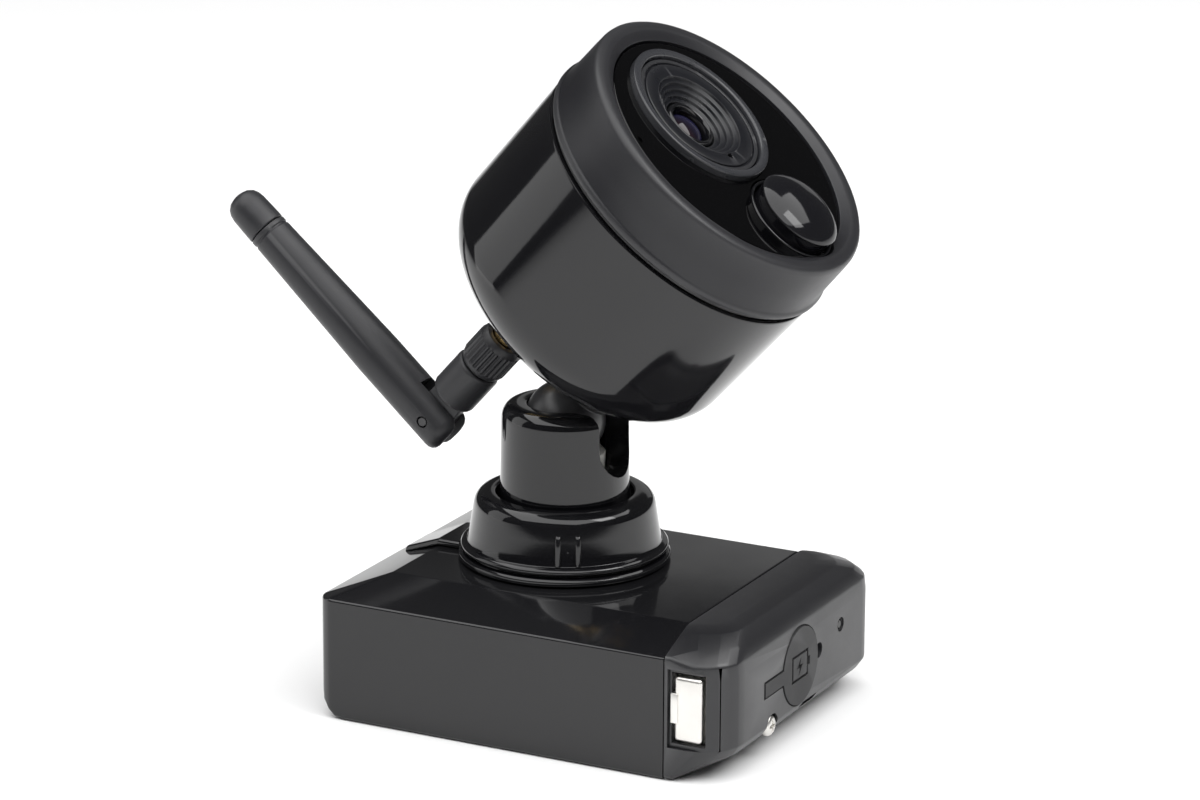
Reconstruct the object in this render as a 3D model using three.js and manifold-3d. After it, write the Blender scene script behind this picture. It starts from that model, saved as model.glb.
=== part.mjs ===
// Battery security camera on a ball mount, millimetres, +Z up.
// The origin is on the underside of the base, below the centre of the mount.
// The long side of the base runs along X and its battery pack slides out towards +X.
import * as THREE from 'three';
import { mergeVertices } from 'three/addons/utils/BufferGeometryUtils.js';
import Module from 'manifold-3d';

const wasm = await Module();
wasm.setup();

// ---------------------------------------------------------------- driving dimensions
const GAP = 0.3; // clearance between two pieces that meet
const WALL = 2.2; // moulded wall thickness
const BIG = 36; // sides of a large turned piece
const SMALL = 18; // sides of a small turned piece

// base
const BASE_LEFT = -39.6;
const BASE_RIGHT = 57.2;
const BASE_HALF = 38.5;
const BASE_TOP = 30.7;
const SHOULDER = 26.0; // height at which the sloping facets start
const FACET_Y = 12.1; // plan depth of the front and rear facets
const FACET_X = 12.3; // plan depth of the left facet
const SEAM_X = 42.9; // where the housing ends and the battery pack begins
const CAP_TOP = 23.5; // height of the flat end face

// ball mount
const FLANGE_R = 22.9;
const SPIGOT_TOP = 36.0;
const COLLAR_TOP = 45.8;
const COLLAR_BORE = 14.8;
const BALL_Z = 61.5;
const BALL_R = 8.7;
const SOCKET_BORE = 9.0;
const SOCKET_TOP = 65.4;
const SLOT_HALF = 6.9;
const SLOT_BOTTOM = 50.6;

// camera head, measured back from its front plane
const HEAD_X = 38.5; // centre of the front plane
const HEAD_Z = 126.2;
const HEAD_LEAN = 41.68; // the optical axis leans this far from straight up towards +X
const BODY_R = 35.0; // just behind the front ring
const BODY_REAR_R = 34.4; // where the rounded rear begins
const FLAT_R = 14.4; // flat patch on the rear
const SEAM_BACK = 14.4;
const BODY_STRAIGHT = 45.5;
const BODY_BACK = 59.5;
const STEM_LOW = 14.27; // the stem enters this far below the optical axis
const LENS_HIGH = 9.1; // the lens sits this far above the optical axis
const SENSOR_LOW = 19.9; // the motion sensor sits this far below it
const AERIAL_HIGH = 7.1; // the aerial connector sits this far above it

// aerial
const NUT_FRONT = 71.5;
const NUT_BACK = 80.6;
const BARREL_BACK = 91.0;
const PIN_BACK = 98.2;
const BLADE_TIP = 65.0;

// battery pack
const CELL_R = 9.2;
const CELL_LENGTH = 65.2;
const CELL_PITCH = 20.2;
const CELL_START = -23.5;
const CELL_Z = 14.6;
const PORT_Y = -2.3;
const PORT_Z = 16.0;

// ---------------------------------------------------------------- shape helpers
// A closed solid from any three.js geometry, with its faces pointing outwards.
function toSolid(geometry) {
  const bare = new THREE.BufferGeometry();
  bare.setAttribute('position', geometry.getAttribute('position'));
  bare.setIndex(geometry.index);
  const merged = mergeVertices(bare, 1e-4);
  const corners = merged.attributes.position.array;
  const faces = new Uint32Array(merged.index.array);
  const build = () =>
    new wasm.Manifold(new wasm.Mesh({ numProp: 3, vertProperties: corners, triVerts: faces }));
  const solid = build();
  if (solid.volume() > 0) return solid;
  for (let i = 0; i < faces.length; i += 3) {
    [faces[i + 1], faces[i + 2]] = [faces[i + 2], faces[i + 1]];
  }
  return build();
}

// A turned piece about Z from [radius, height] points; a profile off the axis makes a tube.
function turned(profile, sides = BIG) {
  const points = profile.map(([r, z]) => new THREE.Vector2(r, z));
  const first = points[0];
  if (first.x > 0 || points.at(-1).x > 0) points.push(first.clone());
  return toSolid(new THREE.LatheGeometry(points, sides).rotateX(Math.PI / 2));
}

const rod = (radius, low, high, sides = SMALL) =>
  turned([[0, low], [radius, low], [radius, high], [0, high]], sides);

const tube = (inner, outer, low, high, sides = BIG) =>
  turned([[inner, low], [outer, low], [outer, high], [inner, high]], sides);

function box(x0, x1, y0, y1, z0, z1) {
  const shape = new THREE.BoxGeometry(x1 - x0, y1 - y0, z1 - z0);
  return toSolid(shape.translate((x0 + x1) / 2, (y0 + y1) / 2, (z0 + z1) / 2));
}

function extruded(outline, depth) {
  const shape = new THREE.Shape(outline.map(([a, b]) => new THREE.Vector2(a, b)));
  return toSolid(new THREE.ExtrudeGeometry(shape, { depth, bevelEnabled: false }));
}

// An (x, y) outline pushed up, an (x, z) outline pushed along Y, a (y, z) outline along X.
const upwards = (outline, z0, z1) => extruded(outline, z1 - z0).translate([0, 0, z0]);
const alongY = (outline, y0, y1) =>
  extruded(outline, y1 - y0).rotate([90, 0, 0]).translate([0, y1, 0]);
const alongX = (outline, x0, x1) =>
  extruded(outline, x1 - x0).rotate([90, 0, 90]).translate([x0, 0, 0]);

function arc(cx, cy, radius, from, to, steps) {
  const points = [];
  for (let i = 0; i <= steps; i += 1) {
    const a = THREE.MathUtils.degToRad(from + ((to - from) * i) / steps);
    points.push([cx + radius * Math.cos(a), cy + radius * Math.sin(a)]);
  }
  return points;
}

function roundedRect(x0, x1, y0, y1, left, right, steps = 4) {
  return [
    ...arc(x0 + left, y0 + left, left, 180, 270, steps),
    ...arc(x1 - right, y0 + right, right, 270, 360, steps),
    ...arc(x1 - right, y1 - right, right, 0, 90, steps),
    ...arc(x0 + left, y1 - left, left, 90, 180, steps),
  ];
}

const join = (first, ...rest) => rest.reduce((sum, next) => sum.add(next), first);
const cut = (first, ...rest) => rest.reduce((left, next) => left.subtract(next), first);

// Frames that lean with the head: +Z is the optical axis and -X the top of the face.
const leaning = (solid, x, z) => solid.rotate([0, HEAD_LEAN, 0]).translate([x, 0, z]);
const onHead = (solid) => leaning(solid, HEAD_X, HEAD_Z);
const onStem = (solid) => leaning(solid, 0, BALL_Z);
const lean = THREE.MathUtils.degToRad(HEAD_LEAN);
const pinX = HEAD_X - AERIAL_HIGH * Math.cos(lean) - PIN_BACK * Math.sin(lean);
const pinZ = HEAD_Z + AERIAL_HIGH * Math.sin(lean) - PIN_BACK * Math.cos(lean);
const onBlade = (solid) => solid.rotate([0, HEAD_LEAN - 90, 0]).translate([pinX, 0, pinZ]);

// ---------------------------------------------------------------- materials
const LOOKS = {
  gloss_black: [0x151517, 0.12, 0],
  matte_black: [0x242428, 0.55, 0],
  soft_black: [0x1b1b1d, 0.8, 0],
  smoked: [0x0a0a0d, 0.05, 0],
  nickel: [0xc9c6bf, 0.25, 1],
  brass: [0xb8944a, 0.3, 1],
  board_green: [0x1f5a3a, 0.5, 0],
  wrap_blue: [0x2b5f9e, 0.4, 0],
  lens_glass: [0x2a2438, 0.02, 0],
  nylon_white: [0xd9d8d2, 0.5, 0],
};

const camera = new THREE.Group();
camera.name = 'security_camera';

function piece(name, look, solid) {
  const data = solid.getMesh();
  const geometry = new THREE.BufferGeometry();
  geometry.setAttribute('position', new THREE.BufferAttribute(data.vertProperties, 3));
  geometry.setIndex(new THREE.BufferAttribute(data.triVerts, 1));
  geometry.computeVertexNormals();
  const [color, roughness, metalness] = LOOKS[look];
  const material = new THREE.MeshStandardMaterial({ color, roughness, metalness });
  const mesh = new THREE.Mesh(geometry, material);
  mesh.name = name;
  camera.add(mesh);
}

// ---------------------------------------------------------------- base housing
// One moulded sleeve, closed at the left and open at the seam for the battery pack.
function facetedSection(half, low, shoulder, top) {
  const inner = half - FACET_Y;
  return [[-half, low], [half, low], [half, shoulder], [inner, top], [-inner, top],
    [-half, shoulder]];
}

const housingSide = [
  ...arc(BASE_LEFT + 7.5, 7.5, 7.5, 180, 270, 5),
  [SEAM_X, 0],
  [SEAM_X, BASE_TOP],
  [BASE_LEFT + FACET_X, BASE_TOP],
  [BASE_LEFT, SHOULDER],
];
const housingBlock = alongY(housingSide, -50, 50)
  .intersect(alongX(facetedSection(BASE_HALF, 0, SHOULDER, BASE_TOP), -60, 60))
  .intersect(upwards(roundedRect(BASE_LEFT, 80, -BASE_HALF, BASE_HALF, 4, 4), -5, 50));
const bayLeft = BASE_LEFT + 5.4;
const baySide = [
  [bayLeft, WALL], [60, WALL], [60, BASE_TOP - WALL], [BASE_LEFT + FACET_X + 1, BASE_TOP - WALL],
  [bayLeft, SHOULDER - 0.4],
];
const bay = alongY(baySide, -50, 50).intersect(
  alongX(facetedSection(BASE_HALF - WALL, WALL, SHOULDER - 1.2, BASE_TOP - WALL), -60, 60));
const mountScrewSpots = [0, 1, 2, 3].map((i) => {
  const a = THREE.MathUtils.degToRad(45 + 90 * i);
  return [14.8 * Math.cos(a), 14.8 * Math.sin(a)];
});
const housingHoles = mountScrewSpots.map(([x, y]) => rod(1.8, 27, 32, 12).translate([x, y, 0]));
piece('base_housing', 'gloss_black', cut(housingBlock, bay, ...housingHoles));

// raised cover from the mount flange over the left facet
const spineSide = [
  [-20, BASE_TOP + GAP],
  [BASE_LEFT + FACET_X - 0.1, BASE_TOP + GAP],
  [BASE_LEFT + 2.6, SHOULDER + 1.0 + GAP],
  [BASE_LEFT + 2.2, SHOULDER + 2.0],
  [BASE_LEFT + 3.2, SHOULDER + 2.8],
  [BASE_LEFT + FACET_X - 0.2, BASE_TOP + 1.7],
  [-20, BASE_TOP + 1.7],
];
const spineBar = alongY(spineSide, -7, 7);
piece('top_spine', 'gloss_black', cut(spineBar, rod(FLANGE_R + GAP, 28, 40, BIG)));

piece('contact_board', 'board_green', box(-33.9, -32.3, -27, 27, 5, 24));
[-1, 0, 1].forEach((side, i) => {
  const pin = rod(1.6, -32, -28.2, 12).rotate([0, 90, 0]);
  piece(`bay_contact_${i + 1}`, 'brass', pin.translate([0, side * CELL_PITCH, CELL_Z]));
});

// ---------------------------------------------------------------- mount flange and collar
const flangeRing = turned([
  [11, BASE_TOP + GAP], [22.3, BASE_TOP + GAP], [FLANGE_R, 31.4], [FLANGE_R, 32.2],
  [22.4, 32.7], [21.2, 32.7], [21.2, 33.0], [18.7, 33.0], [18.7, SPIGOT_TOP],
  [11, SPIGOT_TOP],
]);
const flangeHoles = mountScrewSpots.map(([x, y]) => rod(1.6, 30, 35, 12).translate([x, y, 0]));
piece('mount_flange', 'gloss_black', cut(flangeRing, ...flangeHoles));
mountScrewSpots.forEach(([x, y], i) => {
  const screw = turned([[0, 26.4], [2.6, 26.4], [2.6, 28.2], [1.3, 28.2], [1.3, 34.6],
    [0, 34.6]], 12);
  piece(`mount_screw_${i + 1}`, 'nickel', screw.translate([x, y, 0]));
});

const collarSkirt = turned([
  [19.0, 33.3], [22.0, 33.3], [22.4, 33.7], [22.4, 34.4], [21.9, 34.9], [20.9, 35.1],
  [20.5, 37.0], [19.5, 43.4], [19.0, 44.7], [18.0, 45.5], [16.8, COLLAR_TOP],
  [COLLAR_BORE, COLLAR_TOP], [COLLAR_BORE, 42.4], [17.2, 42.4],
  [17.2, SPIGOT_TOP + GAP], [19.0, SPIGOT_TOP + GAP],
]);
const ridge = alongY(
  [[19.2, 34.6], [21.5, 34.6], [20.4, 41.0], [20.0, 41.8], [19.2, 41.8]], -0.6, 0.6);
const ridges = [0, 120, 240].flatMap((turn) =>
  [-66.5, -54.5].map((angle) => ridge.rotate([0, 0, angle + turn])));
piece('lock_collar', 'gloss_black', join(collarSkirt, ...ridges));

// ---------------------------------------------------------------- ball socket
const cavity = [];
for (let a = -8; a <= 34; a += 7) {
  const t = THREE.MathUtils.degToRad(a);
  cavity.unshift([SOCKET_BORE * Math.cos(t), BALL_Z + SOCKET_BORE * Math.sin(t)]);
}
const socketBody = turned([
  [16.9, SPIGOT_TOP + GAP], [16.9, 42.1], [14.0, 42.1], [13.65, 62.4], [13.2, 64.0],
  [12.2, 65.0], [10.9, SOCKET_TOP], [8.1, SOCKET_TOP],
  ...cavity.filter(([, z]) => z < SOCKET_TOP - 0.6),
  [SOCKET_BORE, 57], [SOCKET_BORE, SPIGOT_TOP + GAP],
]);
const slotOutline = [
  ...arc(0, SLOT_BOTTOM + SLOT_HALF, SLOT_HALF, 180, 360, 10),
  [SLOT_HALF, 80],
  [-SLOT_HALF, 80],
];
piece('ball_socket', 'gloss_black', cut(socketBody, alongX(slotOutline, 3, 25)));

const seatDish = [];
for (let a = -38; a >= -62; a -= 6) {
  const t = THREE.MathUtils.degToRad(a);
  seatDish.push([(BALL_R + GAP) * Math.cos(t), BALL_Z + (BALL_R + GAP) * Math.sin(t)]);
}
piece('ball_seat', 'nylon_white', turned([
  [4.2, 47.5], [SOCKET_BORE - GAP, 47.5], [SOCKET_BORE - GAP, 54.6], [7.6, 55.4],
  ...seatDish.slice(1),
], SMALL));
piece('seat_spring', 'nickel', tube(6.2, 8.2, 42.2, 47.2, SMALL));
piece('socket_plug', 'matte_black', rod(SOCKET_BORE - GAP, 36.7, 41.9, SMALL));

// ---------------------------------------------------------------- ball and stem
const ballProfile = [];
for (let a = -90; a <= 60; a += 10) {
  const t = THREE.MathUtils.degToRad(a);
  ballProfile.push([a === -90 ? 0 : BALL_R * Math.cos(t), BALL_R * Math.sin(t)]);
}
const headPlane = HEAD_X * Math.sin(lean) + (HEAD_Z - BALL_Z) * Math.cos(lean);
const bossEnd = headPlane - BODY_BACK - GAP;
piece('ball_stem', 'matte_black', onStem(turned([
  ...ballProfile, [4.2, 8.2], [4.2, bossEnd], [3.1, bossEnd], [3.1, bossEnd + 9],
  [2.6, bossEnd + 9.5], [0, bossEnd + 9.5],
], SMALL)));
piece('stem_skirt', 'soft_black', onStem(turned([
  [4.5, 8.6], [5.3, 8.4], [6.3, 9.4], [6.3, 10.2], [5.4, 11.4], [4.5, 11.4],
], SMALL)));

// ---------------------------------------------------------------- camera head
const rearCurve = (inset) => arc(0, 0, 1, 0, 90, 7).map(([across, back]) => [
  FLAT_R + (BODY_REAR_R - FLAT_R - inset) * across,
  -(BODY_STRAIGHT + (BODY_BACK - BODY_STRAIGHT - inset) * back),
]);
const shell = turned([
  [BODY_R - 0.4, -(SEAM_BACK + 1.3)], [BODY_R, -(SEAM_BACK + 1.7)],
  ...rearCurve(0), [0, -BODY_BACK], [0, -(BODY_BACK - WALL)],
  ...rearCurve(WALL).reverse(), [BODY_R - WALL, -(SEAM_BACK + 1.3)],
]);
const shellHoles = [
  rod(3.5, -70, -50).translate([STEM_LOW, 0, 0]),
  rod(3.5, -70, -50).translate([-AERIAL_HIGH, 0, 0]),
];
piece('head_shell', 'gloss_black', onHead(cut(shell, ...shellHoles)));

const sensorBay = rod(10.8, -4.4, 6, BIG).translate([SENSOR_LOW, 0, 0]);
piece('front_ring', 'matte_black', onHead(cut(turned([
  [31.4, 0], [33.7, 0], [34.4, -0.8], [34.6, -4], [34.75, -10], [34.95, -12.4],
  [35.4, -13.0], [35.4, -13.9], [34.9, -SEAM_BACK], [BODY_R - WALL - GAP, -SEAM_BACK],
  [BODY_R - WALL - GAP, -20], [30.2, -20], [30.2, -6.2], [27.5, -6.2], [27.5, -4.4],
  [29.5, -4.4], [29.5, -1.1],
]), sensorBay)));
piece('ring_seal', 'soft_black', onHead(
  tube(32.8, 34.3, -(SEAM_BACK + 1.0), -(SEAM_BACK + GAP))));

// the window is one disc with openings for the lens and the motion sensor
const windowDisc = rod(29.2, -4.1, -1.4, BIG);
piece('window_panel', 'smoked', onHead(cut(
  windowDisc,
  rod(17.7, -10, 5, BIG).translate([-LENS_HIGH, 0, 0]),
  sensorBay,
)));
piece('microphone', 'nickel', onHead(rod(2.2, -9.5, -6.5, 12).translate([6, -22, 0])));

const onLens = (solid) => onHead(solid.translate([-LENS_HIGH, 0, 0]));
piece('lens_ring', 'matte_black', onLens(turned([
  [15.5, -0.3], [15.9, 0.1], [17.2, 0.1], [17.5, -0.2], [17.5, -8.5], [14.0, -8.5],
  [14.0, -6.4], [15.5, -6.4],
])));
piece('lens_baffle', 'soft_black', onLens(turned([
  [15.2, -0.9], [15.2, -6.1], [6.2, -6.1], [6.2, -4.0], [7.1, -3.9], [7.3, -3.2],
  [8.2, -3.1], [8.4, -2.4], [9.3, -2.3], [9.5, -1.6], [10.5, -1.5], [10.7, -0.9],
  [13.6, -0.8], [13.8, -1.3], [14.2, -1.3], [14.4, -0.8],
])));
piece('lens_barrel', 'gloss_black', onLens(turned([
  [0, -9.0], [4.4, -9.0], [4.4, -4.4], [4.9, -3.5], [5.6, -3.7], [5.9, -4.6], [5.9, -16.5],
  [0, -16.5],
], SMALL)));
piece('lens_glass', 'lens_glass', onLens(turned([
  [0, -4.2], [1.7, -4.35], [3.2, -4.8], [4.1, -5.5], [4.1, -7.4], [3.0, -8.2], [0, -8.6],
], SMALL)));
piece('image_sensor', 'matte_black', onLens(box(-6, 6, -6, 6, -21.4, -16.8)));

piece('board_carrier', 'matte_black', onHead(tube(27.4, 29.9, -21.4, -6.5)));
piece('image_board', 'board_green', onHead(rod(29.4, -23.3, -21.7, BIG)));
[-1, 1].forEach((side, i) => {
  const led = turned([[0, -14.2], [1.8, -14.8], [2.5, -16.4], [2.5, -21.4], [0, -21.4]], 16);
  piece(`infrared_led_${i + 1}`, 'smoked', onHead(led.translate([12, side * 17, 0])));
});

const onSensor = (solid) => onHead(solid.translate([SENSOR_LOW, 0, 0]));
piece('motion_bezel', 'smoked', onSensor(turned([
  [9.6, -4.1], [10.5, -4.1], [10.5, -1.5], [10.2, -1.1], [9.8, -1.3], [9.6, -1.8],
])));
piece('motion_dome', 'smoked', onSensor(turned([
  [0, 4.8], [3.4, 4.5], [6.2, 3.8], [8.4, 2.8], [9.4, 2.0], [9.6, 1.5], [9.3, 1.1],
  [9.3, -4.1], [8.2, -4.1], [8.2, 0.9], [5.8, 2.4], [3.2, 3.3], [0, 3.6],
])));
piece('motion_holder', 'matte_black', onSensor(tube(6.0, 7.2, -12.8, -4.4, SMALL)));
piece('motion_sensor', 'nickel', onSensor(rod(4.3, -12.8, -8.2)));
piece('motion_board', 'board_green', onSensor(rod(7.2, -14.4, -13.1)));

piece('stem_insert', 'brass', onHead(cut(
  rod(5.6, -55.4, -47.4, 6),
  rod(3.4, -60, -47),
).translate([STEM_LOW, 0, 0])));

// ---------------------------------------------------------------- aerial
const onAerial = (solid) => onHead(solid.translate([-AERIAL_HIGH, 0, 0]));
piece('aerial_jack', 'brass', onAerial(turned([
  [0, -78.2], [3.1, -78.2], [3.1, -56.9], [5.2, -56.9], [5.2, -52.5], [0, -52.5],
], SMALL)));
piece('jack_washer', 'nickel', onAerial(tube(3.4, 5.5, -61.0, -59.8, SMALL)));

const knurl = [];
for (let i = 0; i < 24; i += 1) {
  const step = 15 * i;
  knurl.push(...arc(0, 0, 5.35, step, step + 8, 1), ...arc(0, 0, 4.95, step + 9, step + 14, 1));
}
piece('aerial_nut', 'matte_black', onAerial(cut(
  join(
    upwards(knurl, -79.4, -73.0),
    turned([[0, -NUT_BACK], [4.7, -NUT_BACK], [5.2, -79.2], [5.2, -72.8], [4.6, -NUT_FRONT],
      [0, -NUT_FRONT]], SMALL),
  ),
  rod(3.4, -90, -60),
)));

const tongue = alongY([
  [-3.9, -BARREL_BACK + 1],
  ...arc(0, -PIN_BACK, 4.2, 180, 360, 8),
  [3.9, -BARREL_BACK + 1],
], -2, 2);
piece('aerial_knuckle', 'matte_black', onAerial(cut(
  join(
    turned([[0, -BARREL_BACK], [4.6, -BARREL_BACK], [5.2, -90.3], [5.2, -81.6],
      [4.7, -NUT_BACK - GAP], [0, -NUT_BACK - GAP]], SMALL),
    tongue,
  ),
  rod(1.3, -5, 5, 16).rotate([90, 0, 0]).translate([0, 0, -PIN_BACK]),
)));

const bladeBody = turned([
  [0, -6.0], [3.2, -5.9], [4.6, -5.2], [5.3, -3.4], [5.3, 18], [4.4, 53.2], [4.2, 53.4],
  [4.2, 53.8], [4.4, 54.0], [4.4, 54.9], [0, 54.9],
], SMALL);
piece('aerial_blade', 'matte_black', onBlade(cut(
  bladeBody,
  box(-10, 10, -2.3, 2.3, -10, 6.6),
  rod(1.3, -8, 8, 16).rotate([90, 0, 0]),
)));
piece('aerial_cap', 'matte_black', onBlade(turned([
  [0, 55.2], [4.4, 55.2], [4.25, 61.4], [3.7, 63.3], [2.2, 64.6], [0, BLADE_TIP],
], SMALL)));
piece('aerial_pin', 'nickel', onBlade(rod(1.0, -5.1, 5.1, 12).rotate([90, 0, 0])));

// ---------------------------------------------------------------- battery pack
const capSide = [
  [SEAM_X + GAP, 0], [46.6, 0], [48.4, 0.6], [56.3, 5.6], [BASE_RIGHT, 7.0],
  [BASE_RIGHT, CAP_TOP], [56.8, 25.8], [55.6, 27.8], [53.6, 29.2], [50.4, 30.2],
  [SEAM_X + GAP, BASE_TOP],
];
const capBlock = alongY(capSide, -50, 50)
  .intersect(alongX(facetedSection(BASE_HALF, 0, SHOULDER, BASE_TOP), -60, 60))
  .intersect(upwards(roundedRect(-60, BASE_RIGHT, -BASE_HALF, BASE_HALF, 4, 9.4), -5, 50));
const capHollow = alongY(
  [[40, 2.6], [47.8, 2.6], [54.7, 7.2], [54.7, 25.2], [40, 25.2]], -35.6, 35.6);
const screwPost = box(46.5, 55, -19.2, -12, 1, 10.4).intersect(capBlock);
// A box given for the front side, or the same box on the rear side.
const onSide = (side, x0, x1, y0, y1, z0, z1) =>
  (side < 0 ? box(x0, x1, y0, y1, z0, z1) : box(x0, x1, -y1, -y0, z0, z1));
const latchHoles = [-1, 1].flatMap((side) => [
  onSide(side, 44.5, 52.2, -40, -34, 8.1, 23.7),
  onSide(side, 43.9, 52.9, -40, -37.7, 7.2, 24.4),
]);
const portHollow = [
  rod(8.8, 56, 60, 32).rotate([0, 90, 0]).translate([0, PORT_Y, PORT_Z]),
  box(56, 60, -19.9, -8, PORT_Z - 2.9, PORT_Z + 2.5),
  rod(1.6, 56, 60, 16).rotate([0, 90, 0]).translate([0, PORT_Y + 9.4, PORT_Z + 0.5]),
  box(50, 60, PORT_Y - 5, PORT_Y + 5, PORT_Z - 2.1, PORT_Z + 2.1),
];
piece('end_cap', 'matte_black', cut(
  join(cut(capBlock, capHollow), screwPost),
  ...latchHoles,
  ...portHollow,
  rod(1.2, 50, 60, 12).rotate([0, 90, 0]).translate([0, 18.1, 18.9]),
  box(55.8, 60, -0.6, 6.4, 5.6, 7.2),
  rod(2.7, 55.2, 60, 16).rotate([0, 90, 0]).translate([0, -15.6, 6.8]),
  rod(1.5, 40, 60, 12).rotate([0, 90, 0]).translate([0, -15.6, 6.8]),
));

piece('pack_tray', 'matte_black', join(
  box(-27.6, 45.8, -30.6, 30.6, 2.9, 4.5),
  box(-27.6, -25.8, -30.6, 30.6, 2.9, 16),
  box(43.4, 45.8, -30.6, 30.6, 2.9, 16),
  box(-27.6, 45.8, -32.2, -30.6, 2.9, 12),
  box(-27.6, 45.8, 30.6, 32.2, 2.9, 12),
));
[-1, 0, 1].forEach((side, i) => {
  const cell = turned([[0, 0], [CELL_R, 0], [CELL_R, CELL_LENGTH - 1], [3, CELL_LENGTH - 1],
    [3, CELL_LENGTH], [0, CELL_LENGTH]], SMALL);
  const lying = cell.rotate([0, 90, 0]).translate([CELL_START, side * CELL_PITCH, CELL_Z]);
  piece(`battery_cell_${i + 1}`, 'wrap_blue', lying);
});
piece('charge_board', 'board_green', box(47.0, 48.6, -26, 26, 11, 24));
piece('charge_socket', 'nickel', box(48.9, 54.4, PORT_Y - 4.5, PORT_Y + 4.5,
  PORT_Z - 1.6, PORT_Z + 1.6));
piece('charge_light', 'nylon_white',
  rod(0.9, 48.9, 56.9, 12).rotate([0, 90, 0]).translate([0, 18.1, 18.9]));

[['latch_front', -1], ['latch_rear', 1]].forEach(([name, side]) => {
  piece(name, 'nickel', join(
    onSide(side, 44.8, 51.9, -38.2, -35.2, 8.4, 23.4),
    onSide(side, 44.0, 52.8, -35.3, -34.0, 7.4, 24.4),
    onSide(side, 46.2, 50.8, -38.5, -38.1, 10, 21.8),
  ));
});

piece('port_cover', 'soft_black', join(
  rod(8.5, 56.3, 57.4, 32).rotate([0, 90, 0]).translate([0, PORT_Y, PORT_Z]),
  box(56.3, 57.4, -19.6, -9, PORT_Z - 2.6, PORT_Z + 2.2),
  box(54.8, 56.4, PORT_Y - 4.2, PORT_Y + 4.2, PORT_Z - 1.6, PORT_Z + 1.6),
));
piece('lock_screw', 'nickel', cut(
  turned([[0, 47.6], [1.2, 47.6], [1.2, 55.5], [2.3, 55.5], [2.3, 56.6], [1.7, 57.3],
    [0, 57.3]], 16).rotate([0, 90, 0]).translate([0, -15.6, 6.8]),
  box(56.6, 58, -16.9, -14.3, 6.5, 7.1),
  box(56.6, 58, -15.9, -15.3, 5.5, 8.1),
));

export default camera;
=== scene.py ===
# Battery security camera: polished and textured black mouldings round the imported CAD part.
# Sizes inside the sections are millimetres and are turned into metres as each mesh is made.
import math

import bmesh
import bpy
from mathutils import Matrix, Vector


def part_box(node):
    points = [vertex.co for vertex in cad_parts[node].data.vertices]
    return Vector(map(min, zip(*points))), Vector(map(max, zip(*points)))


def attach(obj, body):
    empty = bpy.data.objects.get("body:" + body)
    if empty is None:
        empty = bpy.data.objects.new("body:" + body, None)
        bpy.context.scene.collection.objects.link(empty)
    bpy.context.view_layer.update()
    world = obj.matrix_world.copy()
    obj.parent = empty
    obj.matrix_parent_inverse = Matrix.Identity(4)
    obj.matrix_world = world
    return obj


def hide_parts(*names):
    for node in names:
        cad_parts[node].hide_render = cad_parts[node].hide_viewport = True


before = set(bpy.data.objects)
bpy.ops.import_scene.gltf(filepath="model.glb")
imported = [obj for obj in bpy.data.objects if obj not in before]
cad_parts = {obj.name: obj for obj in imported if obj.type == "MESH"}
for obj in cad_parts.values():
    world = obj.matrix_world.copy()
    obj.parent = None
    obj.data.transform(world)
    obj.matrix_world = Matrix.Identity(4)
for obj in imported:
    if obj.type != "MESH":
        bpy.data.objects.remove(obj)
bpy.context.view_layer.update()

# ---- Battery housing
# The long sleeve of the base, injection moulded in polished black ABS in one piece. Its roof
# slopes down on three sides and its right end is left open for the battery pack.
MM = 0.001


def point_hull(points, round_off, steps=3):
    """A convex body with softly rounded edges, stretched over points set in by round_off."""
    bm = bmesh.new()
    for x, y, z in points:
        for i in range(-steps, steps + 1):
            up = math.pi / 2 * i / steps
            ring = 1 if abs(i) == steps else 4 * steps
            for j in range(ring):
                turn = 2 * math.pi * j / ring
                bm.verts.new((
                    x + round_off * math.cos(up) * math.cos(turn),
                    y + round_off * math.cos(up) * math.sin(turn),
                    z + round_off * math.sin(up),
                ))
    bmesh.ops.remove_doubles(bm, verts=bm.verts, dist=0.002)
    made = bmesh.ops.convex_hull(bm, input=bm.verts)
    spare = {v for v in made["geom_interior"] + made["geom_unused"]
             if isinstance(v, bmesh.types.BMVert)}
    bmesh.ops.delete(bm, geom=list(spare), context="VERTS")
    bmesh.ops.dissolve_limit(bm, angle_limit=0.003, verts=bm.verts, edges=bm.edges)
    return bm


def to_piece(name, bm, place=Matrix.Identity(4)):
    """Turns a mesh drawn in millimetres into a smooth-shaded piece of the camera."""
    bmesh.ops.transform(bm, matrix=Matrix.Scale(MM, 4) @ place, verts=bm.verts)
    bmesh.ops.recalc_face_normals(bm, faces=bm.faces)
    mesh = bpy.data.meshes.new(name)
    bm.to_mesh(mesh)
    bm.free()
    mesh.shade_smooth()
    piece = bpy.data.objects.new(name, mesh)
    bpy.context.scene.collection.objects.link(piece)
    return piece


def block(x0, x1, y0, y1, z0, z1):
    """A square-cornered cutter between those limits."""
    bm = bmesh.new()
    bmesh.ops.create_cube(bm, size=1)
    for v in bm.verts:
        v.co = (x0 + (v.co.x + 0.5) * (x1 - x0), y0 + (v.co.y + 0.5) * (y1 - y0),
                z0 + (v.co.z + 0.5) * (z1 - z0))
    return bm


def carve(piece, *cutters, keep="DIFFERENCE"):
    """Machines the cutters out of a piece and throws the cutters away."""
    for i, bm in enumerate(cutters):
        tool = to_piece(f"cutter_{i}", bm)
        cut = piece.modifiers.new("cut", "BOOLEAN")
        cut.operation = keep
        cut.solver = "EXACT"
        cut.object = tool
        bpy.context.view_layer.update()
        solid = piece.evaluated_get(bpy.context.evaluated_depsgraph_get())
        mesh = bpy.data.meshes.new_from_object(solid)
        piece.modifiers.clear()
        old = piece.data
        piece.data = mesh
        bpy.data.meshes.remove(old)
        bpy.data.objects.remove(tool)
    piece.data.shade_smooth()
    return piece


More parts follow.
